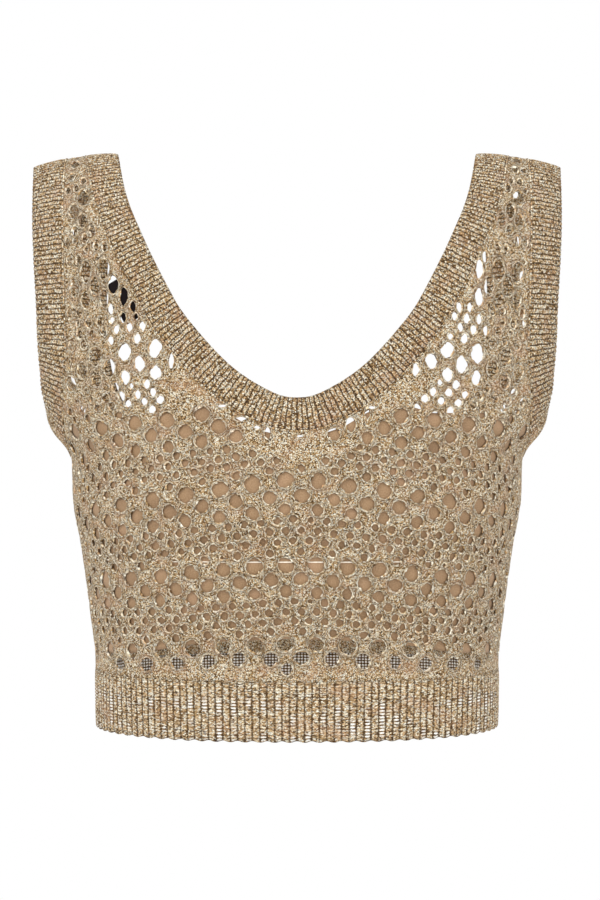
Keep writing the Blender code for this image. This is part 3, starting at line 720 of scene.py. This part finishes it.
def panel_outline(word):
    form = HALVES[word]
    neck_line, arm_line = (band.beyond(SEAM_GAP, round(band.length / 2))
                           for band in (BANDS["neck", word], BANDS["arm", word]))
    low = np.arange(arm_line[-1, 1] - 2, HEM_TOP + SEAM_GAP, -2.0)
    side = np.stack([form.girth(low) - SEAM_GAP / 2, low], axis=1)
    bottom = HEM_TOP + SEAM_GAP
    foot = np.linspace(form.girth(bottom) - SEAM_GAP / 2, 0, 110)
    foot = np.stack([foot, np.full(len(foot), bottom)], axis=1)
    half = np.concatenate([neck_line[::-1], arm_line, side, foot])
    half = half[np.concatenate([[True], np.linalg.norm(np.diff(half, axis=0), axis=1) > 0.2])]
    other = half[::-1] * (-1, 1)
    return np.concatenate([half, other[np.abs(other[:, 0]) > 0.01]])


OUTLINES = {word: panel_outline(word) for word in HALVES}
CHARTS = {word: chart(word) for word in HALVES}
print("eyelets:", {word: len(c) for word, c in CHARTS.items()})

# %% [markdown]
# ## Knitting the lace
#
# The flat panel is filled with triangles between its outline, the rims of its eyelets
# and a scatter of places in between, and laid on the form twice, as an outer and an inner
# face. The rims stand a little proud and round over into the holes, so that the net reads
# as cords of yarn. Every hole is real, since light has to pass through it. A second UV map
# keeps the distance from the nearest hole, by which the finish paints a highlight along
# each rim and shade just outside it.

# %% Building a panel
RINGS = ((0.0, -0.75), (0.45, 0.34), (1.15, 0.22))    # distance from the hole, height
RIM = RINGS[-1][0]
FAR_FROM_HOLES = 9.0
CLOSING_REACH, CLOSED_SHARE = 2.6, 0.30


def rim_points(eye, grown, count, chance, uneven):
    """Points round an eyelet: a rounded diamond, a little irregular."""
    turns = np.linspace(0, 2 * math.pi, count, endpoint=False) + 0.3
    shape = 1 + 0.05 * np.cos(4 * turns) + 0.08 * np.cos(2 * (turns - chance[0]))
    shape = shape + 0.045 * np.cos(3 * turns + chance[1]) + uneven
    return np.stack([eye[0] + (eye[2] * shape + grown) * np.cos(turns),
                     eye[1] + (eye[3] * shape + grown) * np.sin(turns)], axis=1)


def pushed_back(places, eyelets):
    """Where each place would lie if the eyelets were closed, and its distance from a hole.

    Stitch numbers are read from the closed cloth, so its wales run round the holes.
    """
    tree = KDTree(len(eyelets))
    for number, eye in enumerate(eyelets):
        tree.insert((eye[0], eye[1], 0), number)
    tree.balance()
    closed = places.copy()
    gaps = np.full(len(places), FAR_FROM_HOLES)
    for number, place in enumerate(places):
        best, found = 1.0, None
        for _, index, _ in tree.find_n((place[0], place[1], 0), 4):
            eye = eyelets[index]
            away = place - eye[:2]
            reach = math.hypot(*(away / eye[2:]))
            gaps[number] = min(gaps[number], max(1 - 1 / max(reach, 1e-6), 0) * math.hypot(*away))
            grown = (reach - 1) * eye[2] / CLOSING_REACH
            if grown < best:
                best, found = grown, (eye[:2], away)
        if found:
            centre, away = found
            closed[number] = centre + away * (CLOSED_SHARE + (1 - CLOSED_SHARE) * max(best, 0))
    return closed, gaps


def fill_points(outline, eyelets, step):
    """An uneven scatter of places between the rims."""
    chance = np.random.default_rng(3)
    low, high = outline.min(axis=0), outline.max(axis=0)
    rows = np.arange(low[1], high[1], step * 0.87)
    columns = np.arange(low[0], high[0], step)
    places = np.concatenate([np.stack([columns + (k % 2) * step / 2, np.full(len(columns), row)], axis=1)
                             for k, row in enumerate(rows)])
    places += chance.normal(0, step * 0.1, places.shape)
    places = places[inside(places, outline)]
    places = places[distance_to(places, outline) > step * 0.5]
    clear = np.ones(len(places), bool)
    for eye in eyelets:
        clear &= np.hypot(*((places - eye[:2]) / (eye[2:] + RIM + 0.6)).T) > 1
    return places[clear]


def flat_triangles(places, loops, outline, owner):
    """Triangles between all places, less those in an eyelet or outside the outline."""
    edges = [(loop[i], loop[(i + 1) % len(loop)]) for loop in loops for i in range(len(loop))]
    verts, _, faces, source, _, _ = delaunay_2d_cdt([Vector(p) for p in places], edges, [], 1, 1e-4)
    flat = np.array([tuple(v) for v in verts])
    first = np.array([ids[0] if ids else -1 for ids in source])
    faces = np.array([f for f in faces if len(f) == 3])
    rims = np.where(first >= 0, owner[first], -1)[faces]
    in_hole = (rims[:, 0] >= 0) & (rims[:, 0] == rims[:, 1]) & (rims[:, 0] == rims[:, 2])
    keep = ~in_hole & inside(flat[faces].mean(axis=1), outline)
    return flat, first, faces[keep]


def knitted(name, verts, faces, stitches, gaps, finish):
    """A smooth piece that keeps its stitch numbers and its distances from the holes."""
    mesh = bpy.data.meshes.new(name)
    mesh.from_pydata(verts.tolist(), [], faces)
    corner = np.zeros(len(mesh.loops), int)
    mesh.loops.foreach_get("vertex_index", corner)
    for uv_map, values in (("cloth", stitches), ("rim", np.stack([gaps, gaps], axis=1))):
        mesh.uv_layers.new(name=uv_map).data.foreach_set("uv", values[corner].ravel())
    mesh.shade_smooth()
    mesh.materials.append(finish)
    return placed(name, mesh)


def shell(name, form, flat, faces, outer, inner, stitches, finish, gaps=None):
    """A closed sheet: an outer and an inner face, joined along every open edge."""
    gaps = np.full(len(flat), FAR_FROM_HOLES) if gaps is None else gaps
    used = np.unique(faces)
    flat, outer, inner, stitches, gaps = (values[used] for values in (flat, outer, inner, stitches, gaps))
    faces = np.searchsorted(used, faces)
    corners = flat[faces]
    turn = np.cross(corners[:, 1] - corners[:, 0], corners[:, 2] - corners[:, 0])
    if form is FRONT:
        turn = -turn
    faces = np.where((turn > 0)[:, None], faces[:, ::-1], faces)
    sides = np.concatenate([faces[:, [0, 1]], faces[:, [1, 2]], faces[:, [2, 0]]])
    _, index, counts = np.unique(np.sort(sides, axis=1), axis=0, return_index=True, return_counts=True)
    start, end = sides[index[counts == 1]].T
    walls = np.stack([end, start, start + len(flat), end + len(flat)], axis=1)
    verts = np.concatenate([form.lay(flat, outer), form.lay(flat, inner)])
    polygons = faces.tolist() + (faces + len(flat))[:, ::-1].tolist() + walls.tolist()
    return knitted(name, verts, polygons, np.tile(stitches, (2, 1)), np.tile(gaps, 2), finish)


def in_stitches(flat):
    return flat / (WALE, COURSE)


# %% The two lace panels
LACE_THICK = 1.2


def lace_panel(word):
    name, outline, eyelets = f"lace_knit_{word}", OUTLINES[word], CHARTS[word]
    chance = np.random.default_rng(11)
    start = len(outline)
    places, loops, owner, lift = [outline], [list(range(start))], [-1] * start, [0.0] * start
    for number, eye in enumerate(eyelets):
        count = 18 if eye[2] > 3 else 13
        luck, uneven = chance.uniform(0, 2 * math.pi, 2), chance.normal(0, 0.055, count)
        loops.append(list(range(start, start + count)))
        owner += [number] * count + [-1] * (len(RINGS) - 1) * count
        for grown, height in RINGS:
            places.append(rim_points(eye, grown, count, luck, uneven))
            lift += [height] * count
        start += len(RINGS) * count
    fill = fill_points(outline, eyelets, 2.6)
    places, owner = np.concatenate(places + [fill]), np.array(owner + [-1] * len(fill))
    lift = np.array(lift + [0.0] * len(fill))
    flat, first, faces = flat_triangles(places, loops, outline, owner)
    lift = np.where(first >= 0, lift[first], 0.0)
    closed, gaps = pushed_back(flat, eyelets)
    made = shell(name, HALVES[word], flat, faces, lift, -LACE_THICK - lift * 0.5, in_stitches(closed),
                 YARN, gaps)
    print(name, len(eyelets), "eyelets,", len(made.data.polygons), "faces")
    return made


lace = {word: lace_panel(word) for word in HALVES}

# %% [markdown]
# ## Ribbed bands
#
# The neck and armhole bands are knitted in rib with the wales across the band: a furrow
# every 3.4 mm, and every second one deeper. The relief is drawn as a sum of two waves
# along the band and laid on the form in fine steps.

# %% A ribbed strip
RIB, BAND_THICK = 6.8, 1.3    # millimetres; a rib is two wales


def rib_height(turns):
    """Relief of the rib in millimetres, for a place counted in ribs."""
    second = 0.30 * np.abs(np.sin(math.pi * turns)) ** 0.8
    return second + 0.70 * np.abs(np.sin(2 * math.pi * turns)) ** 0.9 - 0.2


def strip(name, form, grid, outer, inner, stitches, finish, inside_finish=None):
    """A closed strip from a grid of flat places."""
    index = np.arange(outer.size).reshape(outer.shape)
    a, b, c, d = (part.ravel() for part in (index[:-1, :-1], index[:-1, 1:], index[1:, 1:], index[1:, :-1]))
    faces = np.concatenate([np.stack([a, b, c], axis=1), np.stack([a, c, d], axis=1)])
    inner = np.broadcast_to(inner, outer.shape)
    made = shell(name, form, grid.reshape(-1, 2), faces, outer.ravel(), inner.ravel(),
                 stitches.reshape(-1, 2), finish)
    if inside_finish:
        made.data.materials.append(inside_finish)
        for face in made.data.polygons[len(faces):2 * len(faces)]:
            face.material_index = 1
    return made


def band_strip(name, band, sides, rows=9, per_rib=16):
    ribs = round(band.length / RIB)
    marks = np.linspace(0, band.length, ribs * per_rib + 1)
    lines = np.stack([band.line(width, marks) for width in np.linspace(0, band.width, rows)])
    turns = np.linspace(0, ribs, ribs * per_rib + 1)
    if sides == "both":
        lines = np.concatenate([lines, lines[:, -2::-1] * (-1, 1)], axis=1)
        turns = np.concatenate([turns, 2 * ribs - turns[-2::-1]])
    elif sides == "right":
        lines = lines * (-1, 1)
    across = np.linspace(0, band.width, rows)[:, None] / COURSE
    # The furrows wander a little on their way across the band.
    turns = turns[None, :] + 0.045 * np.sin(1.3 * across + 2.7 * turns[None, :])
    turned_in = np.abs(np.linspace(-1, 1, rows)) ** 6    # the cloth turns in at both edges
    relief = rib_height(turns) - 0.55 * turned_in[:, None]
    stitches = np.stack(np.broadcast_arrays(turns * 2.0, across), axis=-1)
    return strip(name, band.form, lines, relief, -BAND_THICK, stitches, RIB_YARN)


bands = {}
for word in HALVES:
    bands[f"neckband_{word}"] = band_strip(f"neckband_knit_{word}", BANDS["neck", word], "both")
    for side in ("right", "left"):
        bands[f"armband_{side}_{word}"] = band_strip(f"armband_knit_{side}_{word}", BANDS["arm", word], side)
print("band faces:", {name: len(o.data.polygons) for name, o in bands.items()})

# %% [markdown]
# ## The hem
#
# The hem's rib stands upright in wales 5 mm wide. Every second one shows as a ladder of
# rungs, with the light through their gaps painted white, which fade out here and there. The
# wales are relief, and the rungs are in the finish. The inside has painted rungs half as wide, in every wale.

# %% Hem
HEM_RIBS, PER_RIB, HEM_ROWS = 40, 24, 12


def hem_strip(name, form):
    shares = np.linspace(-1, 1, HEM_RIBS * PER_RIB + 1)
    heights = np.linspace(HEM_BOTTOM, HEM_TOP + SEAM_GAP * 0.9, HEM_ROWS)
    across = shares * (form.girth(heights) - SEAM_GAP / 2)[:, None]
    lines = np.stack(np.broadcast_arrays(across, heights[:, None]), axis=-1)
    turns = (shares + 1) / 2 * HEM_RIBS
    low = 0.55 * (1 - np.linspace(0, 1, HEM_ROWS) ** 0.3)[:, None]
    soft_top = np.clip((HEM_TOP - heights) / 6, 0, 1)[:, None]
    wales = 0.55 * np.abs(np.sin(2 * math.pi * turns)) ** 0.7 + 0.12 * np.sin(math.pi * turns) ** 2
    relief = 0.2 + (wales[None, :] - 0.2) * soft_top - low
    lines[0, :, 1] += 0.5 * np.cos(2 * math.pi * turns)
    stitches = np.stack(np.broadcast_arrays(turns[None, :] * 2.0, heights[:, None] / COURSE), axis=-1)
    return strip(name, form, lines, relief, -BAND_THICK, stitches, HEM_YARN, HEM_INSIDE)


hems = {word: hem_strip(f"hem_knit_{word}", form) for word, form in HALVES.items()}

# %% [markdown]
# ## The lining
#
# A tan jersey lies behind the front lace, from below the neckband to above the hem, with
# one line of cream stitching across it. Jersey is fine knit, so it is smooth, with
# shallow folds where it hangs loose.

# %% Jersey
LINING_TOP = ((0, -197), (24, -193), (36, -189), (52, -181), (66, -176), (84, -176), (104, -181), (200, -181))
LINING_BOTTOM = ((0, -329), (60, -332), (110, -341), (150, -344), (200, -345))


TAN = (0.30, (0.22, 0.123, 0.052)), (0.52, (0.29, 0.172, 0.078)), (0.70, (0.37, 0.222, 0.118))
TAN_GRAIN = (0.3, (0.1, 0.06, 0.03)), (0.7, (0.6, 0.42, 0.28))
SIDE_FOOT, LINING_EASE, LINING_THICK = -345, 1.2, 0.9


def jersey_finish():
    made = new_material("tan_jersey")
    across, along = stitch_numbers()
    place = joined(across, along)
    grain = noise(place, 3.0)
    colour = blend(0.25, ramp(noise(place, 0.10), TAN), ramp(grain, TAN_GRAIN))
    relief = saw(across * 2.6) * 0.6 + grain * 0.4
    finish_material(colour, relief, 0.0002, 0.62, Sheen_Weight=0.2, Specular_IOR_Level=0.35)
    return made


def jersey(name):
    """Columns fan out from the centre to the armhole, and then down the side seam."""
    edge = BANDS["arm", "front"].beyond(SEAM_GAP + LINING_EASE, 160)
    held = edge[edge[:, 1] < LINING_TOP[-1][1]]
    columns = np.linspace(-1, 1, 121)
    foot = np.abs(columns) * (FRONT.girth(SIDE_FOOT) - LINING_EASE)
    top, bottom = (np.interp(foot, *zip(*line)) for line in (LINING_TOP, LINING_BOTTOM))
    height = bottom + (top - bottom) * np.linspace(0, 1, 56)[:, None]
    widest = FRONT.girth(height) - LINING_EASE
    at_armhole = np.minimum(widest, np.interp(-height, -held[:, 1], held[:, 0]))
    widest = np.where(height > held[:, 1].min(), at_armhole, widest)
    grid = np.stack([columns * widest, height], axis=-1)
    folds = 0.25 * np.sin(grid[..., 0] / 9 + 0.03 * height) * np.sin(height / 37)
    outer = -LACE_THICK - 0.60 + folds * 0.5
    return strip(name, FRONT, grid, outer, outer - LINING_THICK, in_stitches(grid), JERSEY)


JERSEY = jersey_finish()
lining = jersey("lining_jersey")
print(lining.name, len(lining.data.polygons), "faces")

# %% [markdown]
# ## Sewing thread
#
# A tube whose thickness swells once for each stitch stands for a line of sewing. It makes
# the linking seams round the bands, over the shoulders and down the sides, and, finer,
# the cream line across the lining.

# %% A beaded cord
BEAD_STEPS, BEAD_SIDES = 4, 6
SIDES = {"right": -1, "left": 1}


def stitch_line(name, path, radius, pitch, finish, swell):
    """A tube along a path in metres that swells once for each stitch."""
    path = even_steps(path * 1000, pitch / BEAD_STEPS)
    ahead = np.gradient(path, axis=0)
    ahead /= np.linalg.norm(ahead, axis=1, keepdims=True)
    side = np.cross(ahead, (0.0, 0.3, 1.0))
    side /= np.linalg.norm(side, axis=1, keepdims=True)
    up = np.cross(side, ahead)
    count = len(path)
    beads = radius * (1 - swell + 2 * swell * np.abs(np.sin(math.pi * np.arange(count) / BEAD_STEPS)))
    turns = np.linspace(0, 2 * math.pi, BEAD_SIDES, endpoint=False)[None, :, None]
    round_path = np.cos(turns) * side[:, None] + np.sin(turns) * up[:, None]
    rings = path[:, None] + beads[:, None, None] * round_path
    corner = np.arange(count * BEAD_SIDES)
    ring, turn = corner // BEAD_SIDES, corner % BEAD_SIDES
    following = ring * BEAD_SIDES + (turn + 1) % BEAD_SIDES
    faces = np.stack([corner, following, following + BEAD_SIDES, corner + BEAD_SIDES], axis=1)
    caps = [corner[BEAD_SIDES - 1::-1].tolist(), corner[-BEAD_SIDES:].tolist()]
    stitches = np.stack([0.3 + turn / 15, ring / BEAD_STEPS], axis=1)
    gaps = np.full(len(corner), FAR_FROM_HOLES)
    faces = faces[:-BEAD_SIDES].tolist() + caps
    return knitted(name, rings.reshape(-1, 3) / 1000, faces, stitches, gaps, finish)


def sew(name, form, flat, out=0.1, radius=0.55):
    """A linking seam along a flat line."""
    seams.append(stitch_line(name, form.lay(flat, out), radius, WALE, YARN, 0.15))


seams = []
for word, form in HALVES.items():
    line = BANDS["neck", word].beyond(SEAM_GAP / 2, 150)
    sew(f"neck_seam_{word}", form, np.concatenate([line, line[-2::-1] * (-1, 1)]))
    line = BANDS["arm", word].beyond(SEAM_GAP / 2, 150)
    for side, sign in SIDES.items():
        sew(f"armhole_seam_{side}_{word}", form, line * (sign, 1))
ends = [BANDS[kind, "front"].line(0, np.array([0.0, 1.0]))[0, 0] for kind in ("neck", "arm")]
shoulder = np.stack([np.linspace(*ends, 60), np.full(60, FRONT.top)], axis=1)
drop = np.linspace(FRONT_ARMHOLE[-1][1], HEM_BOTTOM, 120)
flank = np.stack([FRONT.girth(drop), drop], axis=1)
for side, sign in SIDES.items():
    sew(f"shoulder_seam_{side}", FRONT, shoulder * (sign, 1), 0.0, 0.5)
    sew(f"side_seam_{side}", FRONT, flank * (sign, 1), 0.0, 0.5)
print("seams:", len(seams))

# %% The stitching across the lining
LINE_HEIGHT, LINE_DROP, LINE_HALF, LINE_DEPTH = -278.5, 2.0, 190, -1.62


def thread_finish():
    made = new_material("cream_thread")
    twist = noise(stored("cloth"), 3.0, 1.0)
    colour = blend(twist, (0.86, 0.74, 0.58, 1), (0.97, 0.92, 0.82, 1))
    finish_material(colour, twist, 0.0001, 0.6)
    return made


THREAD = thread_finish()
across = np.linspace(-LINE_HALF, LINE_HALF, 200)
row = np.stack([across, LINE_HEIGHT - LINE_DROP * (across / LINE_HALF) ** 2], axis=1)
lining_stitches = stitch_line("lining_stitches", FRONT.lay(row, LINE_DEPTH), 0.40, 3.2, THREAD, 0.12)

# %% [markdown]
# ## The tab
#
# A small folded tab of black satin is sewn behind the lace, beside the neckband.

# %% Black tab
TAB_WIDTH, TAB_LENGTH, TAB_TOP, TAB_THICK = 15.0, 30.0, -88.0, 0.7


def satin_finish():
    made = new_material("black_satin")
    weave = Wire.node("ShaderNodeTexWave", {"wave_type": "BANDS"},
                      {"Vector": stored("cloth"), "Scale": 3.0, "Distortion": 0.5})
    colour = blend(weave, (0.003, 0.002, 0.003, 1), (0.014, 0.008, 0.009, 1))
    finish_material(colour, weave, 0.0001, 0.55, Specular_IOR_Level=0.12)
    return made


def tab(name):
    """A strip beside the neckband's seam, its edges pressed back."""
    seam = BANDS["neck", "front"].beyond(SEAM_GAP, 36)
    top, low = (seam[np.argmin(np.abs(seam[:, 1] - height))] for height in (TAB_TOP, TAB_TOP - TAB_LENGTH))
    down = (low - top) / np.linalg.norm(low - top)
    out = np.array((-down[1], down[0]))
    u, v = np.meshgrid(np.linspace(0, 1, 13), np.linspace(0, 1, 17))
    grid = top + out + out * TAB_WIDTH * u[..., None] + down * TAB_LENGTH * v[..., None]
    grid = grid * (-1, 1)
    relief = -1.85 - 0.2 * np.maximum(np.abs(2 * u - 1), np.abs(2 * v - 1)) ** 8
    return strip(name, FRONT, grid, relief, relief - TAB_THICK, in_stitches(grid), SATIN)


SATIN = satin_finish()
black_tab = tab("black_tab")

# %% [markdown]
# ## The pieces on the body
#
# Each piece rides on the one rigid body. A piece of cloth also stands for its solid, which
# is hidden, and the flat size that it was cut or knitted to is printed.

# %% Floor finish
def floor_finish():
    made = new_material("pale_floor")
    speck = noise(Wire.node("ShaderNodeTexCoord", output=3), 4.0)
    colour = blend(speck, (0.93, 0.93, 0.93, 1), (0.96, 0.96, 0.96, 1))
    finish_material(colour, speck, 0.0001, 0.9)
    return made


floor_mesh.materials.append(floor_finish())

# %% Riding, replacing and flat sizes
def flat_size(outline):
    """Width, length and area of an outline, in metres and square metres."""
    x, y = outline[:, 0], outline[:, 1]
    area = abs(np.dot(x, np.roll(y, 1)) - np.dot(y, np.roll(x, 1))) / 2e6
    return (*np.ptp(outline, axis=0) / 1000, area)


def dress(piece, node=None):
    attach(piece, "root")
    if node:
        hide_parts(node)


for word in HALVES:
    dress(lace[word], f"lace_{word}")
    dress(hems[word], f"hem_rib_{word}")
for node, piece in bands.items():
    dress(piece, node)
dress(lining, "lining_front")
dress(lining_stitches)
dress(black_tab, "neck_tab")
for seam in seams:
    dress(seam)

for word, form in HALVES.items():
    width, length, area = flat_size(OUTLINES[word])
    print(word, "lace: flat", round(width, 3), "x", round(length, 3), "m, area", round(area, 4))
    hem_width, hem_height = 2 * form.girth(HEM_TOP) / 1000, (HEM_TOP - HEM_BOTTOM) / 1000
    print(word, "hem: flat", round(hem_width, 3), "m")
for node, piece in bands.items():
    word = node.split("_")[-1]
    band = BANDS["neck" if "neck" in node else "arm", word]
    length = band.length * (2 if "neck" in node else 1) / 1000
    band.width / 1000
    print(node, "flat", round(length, 3), "x", band.width / 1000)

# %% Sizes, and the end
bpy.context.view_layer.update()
triangles = [sum(len(p.vertices) - 2 for p in o.data.polygons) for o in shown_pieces() if o.type == "MESH"]
print("triangles:", sum(triangles), "most:", max(triangles))
